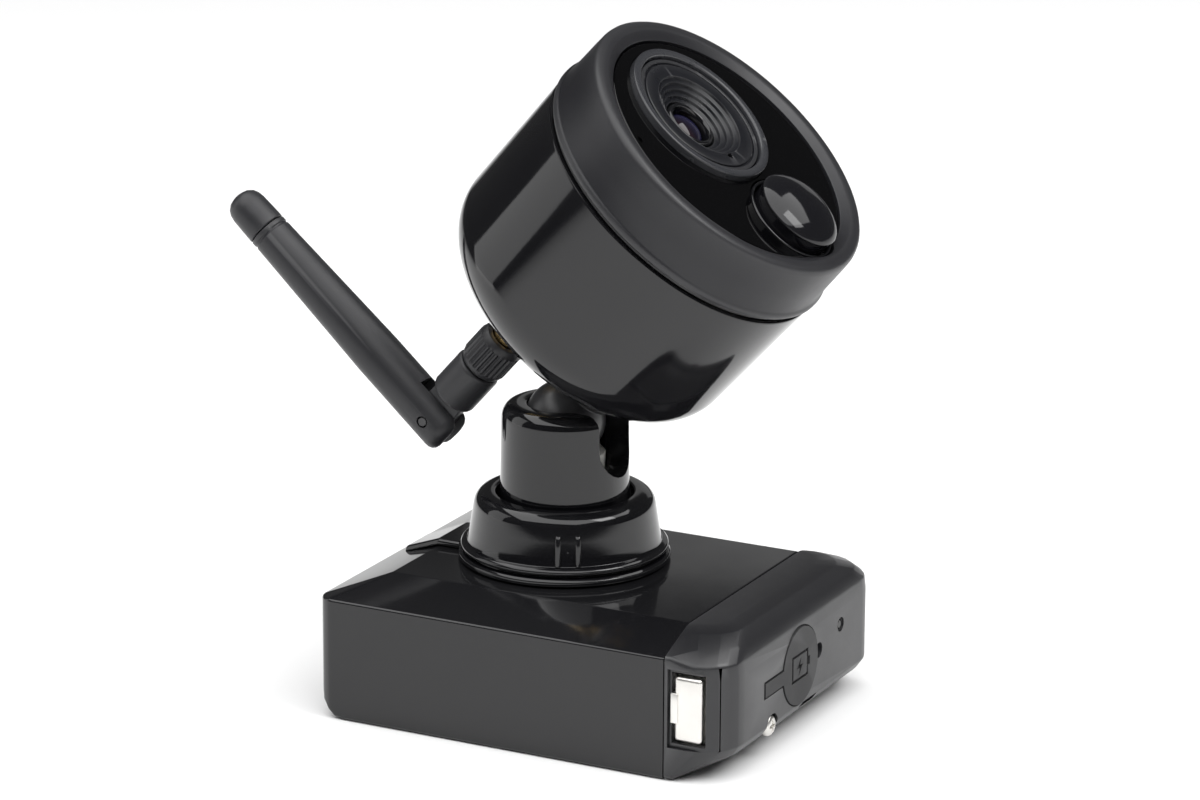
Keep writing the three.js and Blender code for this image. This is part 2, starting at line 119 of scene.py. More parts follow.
def ease_edges(piece, width, angle=32, segments=2):
    """The small radius that a moulding tool leaves on each edge."""
    weld = piece.modifiers.new("weld", "WELD")
    weld.merge_threshold = 0.004 * MM
    ease = piece.modifiers.new("ease", "BEVEL")
    ease.width = width * MM
    ease.segments = segments
    ease.limit_method = "ANGLE"
    ease.angle_limit = math.radians(angle)
    flat = piece.modifiers.new("true_flats", "WEIGHTED_NORMAL")
    flat.weight = 80
    flat.keep_sharp = True
    return piece


def moulding(name, colour, roughness, grain, grain_depth, smudge, worn, metal=0.0,
             specular=0.5):
    """Moulded plastic, rubber or metal: grain of that many millimetres, faint handling marks
    in the roughness, and edges that have rubbed a little lighter."""
    material = bpy.data.materials.new(name)
    material.use_nodes = True
    nodes = material.node_tree.nodes
    link = material.node_tree.links.new
    surface = nodes["Principled BSDF"]
    surface.inputs["Metallic"].default_value = metal
    surface.inputs["Specular IOR Level"].default_value = specular
    where = nodes.new("ShaderNodeTexCoord")

    marks = nodes.new("ShaderNodeTexNoise")
    marks.inputs["Scale"].default_value = 55
    marks.inputs["Detail"].default_value = 6
    marks.inputs["Roughness"].default_value = 0.62
    link(where.outputs["Object"], marks.inputs["Vector"])
    spread = nodes.new("ShaderNodeMapRange")
    spread.inputs["From Min"].default_value = 0.3
    spread.inputs["From Max"].default_value = 0.7
    spread.inputs["To Min"].default_value = max(roughness - smudge, 0.01)
    spread.inputs["To Max"].default_value = roughness + smudge
    link(marks.outputs["Fac"], spread.inputs["Value"])
    link(spread.outputs["Result"], surface.inputs["Roughness"])

    fine = nodes.new("ShaderNodeTexNoise")
    fine.inputs["Scale"].default_value = 1 / (grain * MM)
    fine.inputs["Detail"].default_value = 3
    link(where.outputs["Object"], fine.inputs["Vector"])
    relief = nodes.new("ShaderNodeBump")
    relief.inputs["Strength"].default_value = 1
    relief.inputs["Distance"].default_value = grain_depth * MM
    link(fine.outputs["Fac"], relief.inputs["Height"])
    link(relief.outputs["Normal"], surface.inputs["Normal"])

    shape = nodes.new("ShaderNodeNewGeometry")
    edge = nodes.new("ShaderNodeValToRGB")
    edge.color_ramp.elements[0].position = 0.5
    edge.color_ramp.elements[0].color = (*colour, 1)
    edge.color_ramp.elements[1].position = 0.62
    edge.color_ramp.elements[1].color = (*[c + worn * (0.5 - c) for c in colour], 1)
    link(shape.outputs["Pointiness"], edge.inputs["Fac"])
    tone = nodes.new("ShaderNodeMixRGB")
    tone.blend_type = "MULTIPLY"
    tone.inputs["Color2"].default_value = (0.72, 0.72, 0.74, 1)
    link(marks.outputs["Fac"], tone.inputs["Fac"])
    link(edge.outputs["Color"], tone.inputs["Color1"])
    link(tone.outputs["Color"], surface.inputs["Base Color"])
    return material


def dress(piece, material):
    """Gives a piece its finish and the record's slot for it."""
    piece.data.materials.clear()
    piece.data.materials.append(material)
    return piece


BASE_LEFT, SEAM, HALF, TOP, SHOULDER = -39.6, 42.9, 38.5, 30.7, 26.0
FACET_Y, FACET_X, FOOT_ROUND = 12.1, 12.3, 7.5
EDGE = 0.7
polished_black = moulding("polished_black", (0.0055, 0.0055, 0.0066), 0.07, 0.9, 0.0018,
                          0.02, 0.03)

outline = []
foot = [(BASE_LEFT + FOOT_ROUND * (1 - math.sin(a)), FOOT_ROUND * (1 - math.cos(a)))
        for a in [math.radians(15 * i) for i in range(7)]]
for left, level in foot + [(BASE_LEFT, SHOULDER)]:
    for i in range(7):
        a = math.radians(15 * i)
        corner = 4 - EDGE
        x = max(left + EDGE, BASE_LEFT + 4 - corner * math.sin(a))
        y = HALF - 4 + corner * math.cos(a)
        outline += [(x, y, level), (x, -y, level)]
    outline += [(SEAM - 0.3, HALF - EDGE, level), (SEAM - 0.3, EDGE - HALF, level)]
roof = [(BASE_LEFT + FACET_X + 0.1, HALF - FACET_Y - 0.1), (SEAM - 0.3, HALF - FACET_Y - 0.1)]
outline += [(x, side * y, TOP) for x, y in roof for side in (-1, 1)]
outline = [(x, y, min(max(z, EDGE), TOP - EDGE)) for x, y, z in outline]
housing = to_piece("housing_shell", point_hull(outline, EDGE))
bay = bmesh.new()
for x, low in ((BASE_LEFT + 5.4, 2.2), (60, 2.2)):
    for y in (-HALF + 2.2, HALF - 2.2):
        bay.verts.new((x, y, low))
        bay.verts.new((x, y, SHOULDER - 1.2))
for x, y in ((BASE_LEFT + FACET_X + 1, 26.4), (60, 26.4)):
    bay.verts.new((x, y, TOP - 2.2))
    bay.verts.new((x, -y, TOP - 2.2))
bmesh.ops.convex_hull(bay, input=bay.verts)
carve(housing, bay, block(SEAM, 80, -60, 60, -10, 60))
ease_edges(housing, 0.18, 50)
dress(housing, polished_black)
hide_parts("base_housing")
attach(housing, "base")

# ---- Raised strip on the roof
# A snap-on cover of the same polished plastic that hides the wires running from the mount
# flange down the left slope of the housing.
strip_half, strip_high, strip_edge = 7.0, 1.7, 0.5
strip = bmesh.new()
path = [(-19, TOP), (BASE_LEFT + FACET_X, TOP), (BASE_LEFT + 2.9, SHOULDER + 1.1)]
rows = []
for i, (x, z) in enumerate(path):
    row = []
    for y, lift in ((-strip_half, 0.3), (-strip_half, strip_high - strip_edge),
                    (-strip_half + strip_edge, strip_high), (strip_half - strip_edge, strip_high),
                    (strip_half, strip_high - strip_edge), (strip_half, 0.3)):
        shrink = 0.72 if i == 2 else 1
        row.append(strip.verts.new((x + (0.25 * lift if i == 2 else 0), y * shrink, z + lift)))
    rows.append(row)
for near, far in zip(rows, rows[1:]):
    for i in range(6):
        j = (i + 1) % 6
        strip.faces.new((near[i], near[j], far[j], far[i]))
strip.faces.new(rows[0])
strip.faces.new(rows[-1])
roof_strip = ease_edges(to_piece("roof_strip", strip), 0.35, 20, 3)


def disc_cutter(radius, low, high, x=0, y=0, sides=96):
    """An upright round cutter."""
    bm = bmesh.new()
    bmesh.ops.create_cone(bm, cap_ends=True, segments=sides, radius1=radius, radius2=radius,
                          depth=high - low)
    bmesh.ops.translate(bm, vec=(x, y, (low + high) / 2), verts=bm.verts)
    return bm


carve(roof_strip, disc_cutter(23.2, 20, 50))
ease_edges(roof_strip, 0.3, 30, 2)
dress(roof_strip, polished_black)
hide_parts("top_spine")
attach(roof_strip, "base")

# ---- Mount flange
# A round ring moulded in the same black and screwed to the roof from inside. The locking
# collar screws on over its raised spigot.


def turned(name, profile, sides=96, place=Matrix.Identity(4)):
    """A round piece spun from (radius, height) points; off the axis the profile closes."""
    bm = bmesh.new()
    rings = []
    for radius, height in profile:
        if radius < 1e-6:
            rings.append([bm.verts.new((0, 0, height))])
            continue
        rings.append([bm.verts.new((radius * math.cos(2 * math.pi * i / sides),
                                    radius * math.sin(2 * math.pi * i / sides), height))
                      for i in range(sides)])
    pairs = list(zip(rings, rings[1:]))
    if len(rings[0]) > 1 or len(rings[-1]) > 1:
        pairs.append((rings[-1], rings[0]))
    for a, b in pairs:
        for i in range(sides):
            j = (i + 1) % sides
            corners = [a[i % len(a)], a[j % len(a)], b[j % len(b)], b[i % len(b)]]
            face = list(dict.fromkeys(corners))
            if len(face) > 2:
                bm.faces.new(face)
    return to_piece(name, bm, place)


flange = turned("mount_ring", [
    (11, 31.0), (22.3, 31.0), (22.8, 31.3), (22.9, 31.8), (22.8, 32.3), (22.4, 32.7),
    (21.2, 32.8), (21.2, 33.0), (18.7, 33.0), (18.7, 36.0), (11, 36.0)])
ease_edges(flange, 0.12)
dress(flange, polished_black)
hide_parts("mount_flange")
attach(flange, "base")

# ---- Locking collar
# The hand-turned collar that clamps the ball socket down. Polished black, with a bead round
# its foot and three pairs of upright grip ribs moulded on its skirt.
collar = turned("clamp_collar", [
    (19.0, 33.3), (21.9, 33.3), (22.3, 33.6), (22.4, 34.0), (22.3, 34.4), (21.9, 34.8),
    (21.0, 35.0), (20.8, 35.6), (20.5, 37.0), (20.0, 40.2), (19.55, 43.1), (19.35, 43.9),
    (18.9, 44.7), (18.2, 45.35), (17.3, 45.7), (16.4, 45.8), (15.1, 45.8), (14.8, 45.5),
    (14.8, 42.4), (17.2, 42.4), (17.2, 36.3), (19.0, 36.3)], 128)
ease_edges(collar, 0.15, 40)
dress(collar, polished_black)
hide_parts("lock_collar")
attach(collar, "collar")
for number, angle in enumerate([a + t for t in (0, 120, 240) for a in (-66.5, -54.5)], 1):
    rib_points = [(r, y, z) for r, z in ((19.9, 35.3), (21.1, 35.3), (20.1, 40.9), (19.8, 41.3))
                  for y in (-0.25, 0.25)]
    rib = to_piece(f"collar_rib_{number}", point_hull(rib_points, 0.35),
                   Matrix.Rotation(math.radians(angle), 4, "Z"))
    dress(rib, polished_black)
    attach(rib, "collar")
grip_dot = to_piece("collar_dot", point_hull([(19.95, 0, 38.0)], 0.45),
                    Matrix.Rotation(math.radians(-60.5), 4, "Z"))
dress(grip_dot, polished_black)
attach(grip_dot, "collar")

# ---- Ball socket
# The upright cup that holds the ball, polished black like the collar. A U-shaped slot on one
# side lets the stem tip forwards, and its lip is eased where the mould halves met.
socket_profile = [
    (16.9, 36.3), (16.9, 42.1), (14.0, 42.1), (13.8, 52), (13.65, 62.2), (13.5, 63.2),
    (13.1, 64.1), (12.5, 64.8), (11.7, 65.25), (10.8, 65.4), (8.7, 65.4), (8.25, 65.2)]
for degrees in (23, 15, 7, 0):
    a = math.radians(degrees)
    socket_profile.append((9.0 * math.cos(a), 61.5 + 9.0 * math.sin(a)))
socket_profile += [(9.0, 50), (9.0, 36.3)]
cup = turned("ball_cup", socket_profile, 128)


def slot_cutter(half, bottom, x0, x1):
    """A U-shaped cutter along X, open at the top."""
    bm = bmesh.new()
    arc = [(half * math.cos(math.radians(180 + 15 * i)),
            bottom + half + half * math.sin(math.radians(180 + 15 * i))) for i in range(13)]
    outline = arc + [(half, 80), (-half, 80)]
    ends = [[bm.verts.new((x, y, z)) for y, z in outline] for x in (x0, x1)]
    count = len(ends[0])
    for i in range(count):
        j = (i + 1) % count
        bm.faces.new((ends[0][i], ends[0][j], ends[1][j], ends[1][i]))
    bm.faces.new(ends[0])
    bm.faces.new(ends[1])
    return bm


carve(cup, slot_cutter(6.9, 50.6, 3, 25))
ease_edges(cup, 0.55, 40, 3)
dress(cup, polished_black)
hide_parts("ball_socket")
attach(cup, "socket")

# ---- Ball and stem
# A moulded ball on a short round neck, with a threaded stud that screws into the back of the
# head. A soft conical washer sits where the neck leaves the ball.
LEAN = math.radians(41.68)
ball_frame = Matrix.Translation((0, 0, 61.5)) @ Matrix.Rotation(LEAN, 4, "Y")
head_frame = Matrix.Translation((38.5, 0, 126.2)) @ Matrix.Rotation(LEAN, 4, "Y")
satin_black = moulding("satin_black", (0.03, 0.03, 0.032), 0.33, 0.25, 0.006, 0.05, 0.1)
rubber_black = moulding("soft_rubber", (0.02, 0.02, 0.021), 0.62, 0.35, 0.012, 0.06, 0.06)

ball_profile = [(8.7 * math.cos(math.radians(a)) if a > -90 else 0,
                 8.7 * math.sin(math.radians(a))) for a in range(-90, 61, 6)]
ball = turned("ball_and_neck", ball_profile + [
    (4.2, 8.0), (4.2, 14.0), (3.1, 14.1), (3.1, 23.0), (2.6, 23.5), (0, 23.5)], 64, ball_frame)
ease_edges(ball, 0.15)
dress(ball, satin_black)
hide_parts("ball_stem")
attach(ball, "stem")

washer = turned("cone_washer", [
    (4.5, 8.6), (5.3, 8.4), (5.9, 8.8), (6.3, 9.5), (6.3, 10.2), (5.9, 10.9), (5.4, 11.4),
    (4.5, 11.4)], 64, ball_frame)
ease_edges(washer, 0.12)
dress(washer, rubber_black)
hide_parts("stem_skirt")
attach(washer, "stem")

# ---- Camera shell
# The drum-shaped rear of the head, a deep polished black moulding with a rounded back. The
# stem and the aerial connector pass through two round holes in it.
BODY, REAR, FLAT, STRAIGHT, BACK = 35.0, 34.4, 14.4, 45.5, 59.5
WALL = 2.2
rear_curve = [(FLAT + (REAR - FLAT) * math.cos(math.radians(7.5 * i)),
               -(STRAIGHT + (BACK - STRAIGHT) * math.sin(math.radians(7.5 * i))))
              for i in range(13)] + [(0, -BACK)]
inner_curve = [(max(r - WALL * (r - FLAT) / (REAR - FLAT), 0),
                z + WALL * (-z - STRAIGHT) / (BACK - STRAIGHT)) for r, z in rear_curve[:-1]]
inner_curve.append((0, -BACK + WALL))
shell = turned("camera_shell", [
    (BODY - 0.5, -15.7), (BODY - 0.1, -15.85), (BODY, -16.2), (34.8, -25)] + rear_curve
    + inner_curve[::-1] + [(BODY - WALL, -15.7)], 160, head_frame)
bores = [disc_cutter(3.5, -70, -50, x, 0, 48) for x in (14.27, -7.1)]
for bore in bores:
    bmesh.ops.transform(bore, matrix=head_frame, verts=bore.verts)
carve(shell, *bores)
ease_edges(shell, 0.15, 40)
dress(shell, polished_black)
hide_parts("head_shell")
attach(shell, "head")

# ---- Front ring
# The removable bezel at the front of the head, moulded with a fine spark-eroded texture so
# it stays matt. It presses a thin rubber gasket against the shell.
textured_black = moulding("textured_black", (0.011, 0.011, 0.0135), 0.4, 0.22, 0.014, 0.05, 0.12,
                          specular=0.4)
ring = turned("front_bezel", [
    (31.6, -0.02), (32.4, 0), (33.3, -0.02), (33.9, -0.25), (34.3, -0.7), (34.5, -1.4),
    (34.6, -4), (34.7, -9), (34.9, -12.3), (35.15, -12.7), (35.4, -13.1), (35.4, -13.8),
    (35.1, -14.3), (32.5, -14.4), (32.5, -20), (30.2, -20), (30.2, -6.2), (27.5, -6.2),
    (27.5, -4.4), (29.5, -4.4), (29.5, -1.2), (29.8, -1.0), (31.1, -0.2)], 160, head_frame)
sensor_bay = disc_cutter(10.8, -4.4, 6, 19.9, 0)
bmesh.ops.transform(sensor_bay, matrix=head_frame, verts=sensor_bay.verts)
carve(ring, sensor_bay)
ease_edges(ring, 0.14, 40)
dress(ring, textured_black)
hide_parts("front_ring")
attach(ring, "head")

gasket = turned("ring_gasket", [
    (32.8, -15.4), (34.1, -15.4), (34.3, -15.2), (34.3, -14.9), (34.1, -14.7), (32.8, -14.7)],
    128, head_frame)
dress(gasket, rubber_black)
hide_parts("ring_seal")
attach(gasket, "head")

# ---- Front window
# A disc of smoked polished acrylic, dark enough to hide the lamps behind it. Round openings
# are cut for the lens and the motion sensor, and a pinhole lets sound reach the microphone.
smoked_acrylic = moulding("smoked_acrylic", (0.0015, 0.0015, 0.0018), 0.03, 1.2, 0.0006, 0.01,
                          0.0, specular=0.3)
pane = turned("front_window", [
    (0, -1.4), (28.7, -1.4), (29.0, -1.5), (29.2, -1.8), (29.2, -4.1), (0, -4.1)], 128, head_frame)
window_cuts = [disc_cutter(17.7, -10, 6, -9.1), disc_cutter(10.8, -10, 6, 19.9),
               disc_cutter(0.7, -2.2, 0, -9.8, -25.4, 16)]
for tool in window_cuts:
    bmesh.ops.transform(tool, matrix=head_frame, verts=tool.verts)
carve(pane, *window_cuts)
ease_edges(pane, 0.1, 40)
dress(pane, smoked_acrylic)
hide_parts("window_panel")
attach(pane, "head")

# ---- Lens surround
# A raised round frame, a dished disc with fine ridges that stop stray light, and the small
# threaded lens barrel at its centre, all in blue-black plastic.
lens_frame = head_frame @ Matrix.Translation((-9.1, 0, 0))
slate_black = moulding("slate_black", (0.010, 0.011, 0.015), 0.26, 0.12, 0.01, 0.05, 0.2)
ridged_black = moulding("ridged_black", (0.005, 0.0055, 0.008), 0.3, 0.1, 0.008, 0.05, 0.16)
surround = turned("lens_surround", [
    (15.5, -0.4), (15.7, -0.05), (16.0, 0.1), (17.0, 0.1), (17.35, 0.0), (17.5, -0.3),
    (17.5, -8.5), (14.0, -8.5), (14.0, -6.4), (15.5, -6.4)], 128, lens_frame)
ease_edges(surround, 0.08, 40)
dress(surround, slate_black)
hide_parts("lens_ring")
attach(surround, "head")

steps = [(15.2, -0.9)]
steps += [(15.2, -6.1), (6.2, -6.1), (6.2, -4.0)]
for i in range(4):
    r, z = 6.4 + 1.1 * i, -3.9 + 0.8 * i
    steps += [(r + 0.5, z), (r + 0.75, z + 0.1), (r + 0.85, z + 0.72)]
steps += [(10.75, -0.9), (13.5, -0.8), (13.75, -0.9), (13.85, -1.3), (14.2, -1.3),
          (14.3, -0.9), (14.5, -0.8)]
dish = turned("lens_dish", steps, 128, lens_frame)
sensor_notch = [block(10.1, 11.7, -2.5, -1.7, -3.2, 1), block(10.5, 11.3, -2.9, -1.3, -3.2, 1)]
for tool in sensor_notch:
    bmesh.ops.transform(tool, matrix=lens_frame, verts=tool.verts)
carve(dish, *sensor_notch)
ease_edges(dish, 0.06, 40)
dress(dish, ridged_black)
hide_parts("lens_baffle")
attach(dish, "head")

barrel = turned("lens_tube", [
    (0, -9.0), (4.4, -9.0), (4.4, -4.9), (4.55, -4.2), (4.8, -3.6), (5.1, -3.45), (5.5, -3.6),
    (5.8, -4.1), (5.9, -4.7), (5.9, -16.5), (0, -16.5)], 64, lens_frame)
ease_edges(barrel, 0.08, 40)
dress(barrel, polished_black)
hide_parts("lens_barrel")
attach(barrel, "head")

# ---- Lens glass
# The front element, a small ground and coated glass. The coating shows violet from the side; the
# warm tone looking straight in is a painted glint in its colour.
coated = bpy.data.materials.new("coated_glass")
coated.use_nodes = True
glass_nodes = coated.node_tree.nodes
glass_link = coated.node_tree.links.new
glass = glass_nodes["Principled BSDF"]
glass.inputs["Coat Weight"].default_value = 0.3
glass.inputs["Coat Roughness"].default_value = 0.01
facing = glass_nodes.new("ShaderNodeLayerWeight")
facing.inputs["Blend"].default_value = 0.35
# Painted glint: the base colour turns warm where the glass faces the view, standing in for a
# highlight; the violet at grazing angles is the coating's tint.
coating_tint_and_painted_glint = glass_nodes.new("ShaderNodeValToRGB")
coating_tint_and_painted_glint.color_ramp.elements[0].color = (0.030, 0.012, 0.008, 1)
coating_tint_and_painted_glint.color_ramp.elements[1].color = (0.02, 0.02, 0.075, 1)
middle = coating_tint_and_painted_glint.color_ramp.elements.new(0.35)
middle.color = (0.008, 0.006, 0.012, 1)
dust = glass_nodes.new("ShaderNodeTexNoise")
dust.inputs["Scale"].default_value = 900
haze = glass_nodes.new("ShaderNodeMapRange")
haze.inputs["To Min"].default_value = 0.01
haze.inputs["To Max"].default_value = 0.05
glass_where = glass_nodes.new("ShaderNodeTexCoord")
glass_link(glass_where.outputs["Object"], dust.inputs["Vector"])
glass_link(dust.outputs["Fac"], haze.inputs["Value"])
glass_link(haze.outputs["Result"], glass.inputs["Roughness"])
glass_link(facing.outputs["Facing"], coating_tint_and_painted_glint.inputs["Fac"])
glass_link(coating_tint_and_painted_glint.outputs["Color"], glass.inputs["Base Color"])
element = turned("front_element", [
    (0, -4.2), (0.9, -4.23), (1.8, -4.38), (2.6, -4.6), (3.3, -4.9), (3.8, -5.25), (4.1, -5.6),
    (4.1, -7.4), (3.0, -8.2), (0, -8.6)], 64, lens_frame)
dress(element, coated)
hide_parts("lens_glass")
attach(element, "head")

# ---- Motion sensor
# A low smoked dome over the infrared motion sensor, polished outside, standing in a shallow
# bright-edged seat that is cut partly into the front ring.
sensor_frame = head_frame @ Matrix.Translation((19.9, 0, 0))
seat = turned("sensor_seat", [
    (9.6, -4.1), (10.5, -4.1), (10.5, -1.5), (10.35, -1.2), (10.1, -1.1), (9.8, -1.3),
    (9.6, -1.8)], 96, sensor_frame)
dress(ease_edges(seat, 0.06, 40), polished_black)
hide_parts("motion_bezel")
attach(seat, "head")

dome_glass = moulding("dome_plastic", (0.006, 0.006, 0.0075), 0.08, 0.8, 0.001, 0.015, 0.05,
                      specular=0.4)
dome = turned("sensor_dome", [
    (0, 4.8), (1.7, 4.73), (3.4, 4.5), (4.9, 4.18), (6.2, 3.8), (7.4, 3.3), (8.4, 2.75),
    (9.1, 2.2), (9.5, 1.8), (9.6, 1.5), (9.45, 1.25), (9.3, 1.0), (9.3, -4.1), (8.2, -4.1),
    (8.2, 0.9), (5.8, 2.4), (3.2, 3.3), (0, 3.6)], 96, sensor_frame)
dress(ease_edges(dome, 0.05, 50), dome_glass)
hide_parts("motion_dome")
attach(dome, "head")

# ---- Aerial
# A screw-on whip aerial: a knurled coupling nut, a swivelling barrel with a flat tongue, and
# the hinged blade, all in lightly textured black plastic, with a satin black pin through the
# hinge.
aerial_frame = head_frame @ Matrix.Translation((-7.1, 0, 0))
whip_black = moulding("whip_black", (0.013, 0.013, 0.0155), 0.42, 0.16, 0.02, 0.05, 0.12,
                      specular=0.4)
nut = bmesh.new()
knurls, knurl_depth = 26, 0.38
nut_rows = ((4.6, -71.5, 0), (5.1, -72.5, 0), (5.2, -73.0, 0), (5.35, -73.2, 1),
            (5.35, -79.0, 1), (5.2, -79.3, 0), (5.1, -79.8, 0), (4.7, -80.6, 0),
            (3.4, -80.6, 0), (3.4, -71.5, 0))
nut_rings = []
for radius, height, ribbed in nut_rows:
    ring_verts = []
    for i in range(knurls * 4):
        inset = knurl_depth if ribbed and i % 4 in (2, 3) else 0
        a = 2 * math.pi * i / (knurls * 4)
        ring_verts.append(nut.verts.new(((radius - inset) * math.cos(a),
                                         (radius - inset) * math.sin(a), height)))
    nut_rings.append(ring_verts)
for near, far in zip(nut_rings, nut_rings[1:] + nut_rings[:1]):
    for i in range(knurls * 4):
        j = (i + 1) % (knurls * 4)
        nut.faces.new((near[i], near[j], far[j], far[i]))
coupling = to_piece("coupling_nut", nut, aerial_frame)
ease_edges(coupling, 0.06, 35)
dress(coupling, whip_black)
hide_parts("aerial_nut")
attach(coupling, "aerial_coupling")

swivel = turned("swivel_barrel", [
    (0, -80.9), (4.7, -80.9), (5.0, -81.2), (5.2, -81.7), (5.2, -90.0), (5.0, -90.6),
    (4.6, -91.0), (0, -91.0)], 64, aerial_frame)
ease_edges(swivel, 0.15, 40)
dress(swivel, whip_black)
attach(swivel, "aerial_base")
tongue_points = [(4.2 * math.cos(math.radians(a)), y, -98.2 + 4.2 * math.sin(math.radians(a)))
                 for a in range(180, 361, 15) for y in (-2, 2)]
tongue_points += [(x, y, -90.5) for x in (-3.9, 3.9) for y in (-2, 2)]
inset_points = [(x * 0.93, y * 0.85, z if z > -91 else -98.2 + (z + 98.2) * 0.93)
                for x, y, z in tongue_points]
tongue = to_piece("swivel_tongue", point_hull(inset_points, 0.28, 2), aerial_frame)
dress(tongue, whip_black)
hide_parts("aerial_knuckle")
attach(tongue, "aerial_base")

blade_frame = aerial_frame @ Matrix.Translation((0, 0, -98.2)) @ Matrix.Rotation(
    -math.pi / 2, 4, "Y")
blade = turned("whip_blade", [
    (0, -6.0), (3.2, -5.9), (4.1, -5.6), (4.8, -5.0), (5.2, -4.2), (5.3, -3.2), (5.3, 18),
    (5.05, 28), (4.4, 53.2), (4.2, 53.4), (4.2, 53.8), (4.4, 54.0), (4.4, 54.9), (0, 54.9)],
    72, blade_frame)
fork_gap = block(-10, 10, -2.3, 2.3, -10, 6.6)
pin_bore = disc_cutter(1.3, -8, 8, 0, 0, 24)
bmesh.ops.rotate(pin_bore, cent=(0, 0, 0), matrix=Matrix.Rotation(math.pi / 2, 3, "X"),
                 verts=pin_bore.verts)
for tool in (fork_gap, pin_bore):
    bmesh.ops.transform(tool, matrix=blade_frame, verts=tool.verts)
carve(blade, fork_gap, pin_bore)
ease_edges(blade, 0.12, 40)
dress(blade, whip_black)
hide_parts("aerial_blade")
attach(blade, "aerial_arm")

tip = turned("whip_tip", [
    (0, 55.2), (4.2, 55.2), (4.4, 55.4), (4.35, 58), (4.25, 61.2), (4.0, 62.6), (3.5, 63.6),
    (2.6, 64.4), (1.4, 64.85), (0, 65.0)], 64, blade_frame)
dress(ease_edges(tip, 0.1, 40), whip_black)
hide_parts("aerial_cap")
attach(tip, "aerial_arm")

# ---- End cap of the battery pack
# The right end of the base is the face of the slide-out battery pack, moulded in matt black
# with big soft corners. Recesses are moulded in it for the two latches and the port cover.
CAP_EDGE = 1.2
cap_side = [(44.0, 0), (46.4, 0), (56.0, 5.9), (57.2, 7.6), (57.2, 22.6), (56.9, 25.0),
            (56.0, 27.1), (54.3, 28.8), (51.4, 29.9), (44.0, 30.7)]


def across(height):
    """Half the width of the base at that height, along its sloping facets."""
    if height <= SHOULDER:
        return HALF
    return HALF - FACET_Y * (height - SHOULDER) / (TOP - SHOULDER)


cap_points = []
for x, z in cap_side:
    depth = min(max(z, CAP_EDGE), TOP - CAP_EDGE)
    for i in range(7):
        a = math.radians(15 * i)
        px = max(x - 9.4 + (9.4 - CAP_EDGE) * math.sin(a), 42.0)
        py = across(z) - 9.4 + (9.4 - CAP_EDGE) * math.cos(a)
        cap_points += [(px, py, depth), (px, -py, depth)]
for y, z in ((HALF, 0), (HALF, SHOULDER), (HALF - FACET_Y, TOP)):
    depth = min(max(z, CAP_EDGE), TOP - CAP_EDGE)
    cap_points += [(x, side * (y - CAP_EDGE), depth) for x in (42.0, 44.5) for side in (-1, 1)]
end_cap = to_piece("pack_end_cap", point_hull(cap_points, CAP_EDGE))


def facing_x(bm):
    """Stands a disc cutter up so that it works along X."""
    bmesh.ops.rotate(bm, cent=(0, 0, 0), matrix=Matrix.Rotation(math.pi / 2, 3, "Y"),
                     verts=bm.verts)
    return bm


def moved(bm, x, y, z):
    """The same mesh, shifted."""
    bmesh.ops.translate(bm, vec=(x, y, z), verts=bm.verts)
    return bm


PORT_Y, PORT_Z = -2.3, 16.0
cap_hollow = bmesh.new()
for x, z in ((40, 2.6), (47.8, 2.6), (54.7, 7.2), (54.7, 25.2), (40, 25.2)):
    for y in (-35.6, 35.6):
        cap_hollow.verts.new((x, y, z))
bmesh.ops.convex_hull(cap_hollow, input=cap_hollow.verts)
cap_cuts = [block(20, 43.2, -60, 60, -10, 60), cap_hollow]
for side in (-1, 1):
    for x0, x1, y0, y1, z0, z1 in ((44.5, 52.2, 34, 40, 8.1, 23.7),
                                   (43.9, 52.9, 37.7, 40, 7.2, 24.4)):
        cap_cuts.append(block(x0, x1, *sorted((side * y0, side * y1)), z0, z1))
cap_cuts += [
    moved(facing_x(disc_cutter(8.8, 56.1, 60)), 0, PORT_Y, PORT_Z),
    block(56.1, 60, -19.9, -8, PORT_Z - 2.2, PORT_Z + 1.7),
    moved(facing_x(disc_cutter(1.7, 56.1, 60, sides=32)), 0, PORT_Y + 9.4, PORT_Z + 0.5),
    block(50, 60, PORT_Y - 5, PORT_Y + 5, PORT_Z - 2.1, PORT_Z + 2.1),
    moved(facing_x(disc_cutter(1.2, 50, 60, sides=32)), 0, 18.1, 18.9),
    moved(facing_x(disc_cutter(1.6, 56.8, 60, sides=32)), 0, 18.1, 18.9),
    block(55.6, 60, -0.6, 6.4, 5.7, 7.2),
    moved(facing_x(disc_cutter(2.7, 54.9, 60, sides=32)), 0, -15.6, 6.8),
]
carve(end_cap, *cap_cuts)
ease_edges(end_cap, 0.16, 42)
cap_black = moulding("cap_black", (0.011, 0.011, 0.013), 0.34, 0.24, 0.012, 0.05, 0.1)
dress(end_cap, cap_black)
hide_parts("end_cap")
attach(end_cap, "battery_pack")

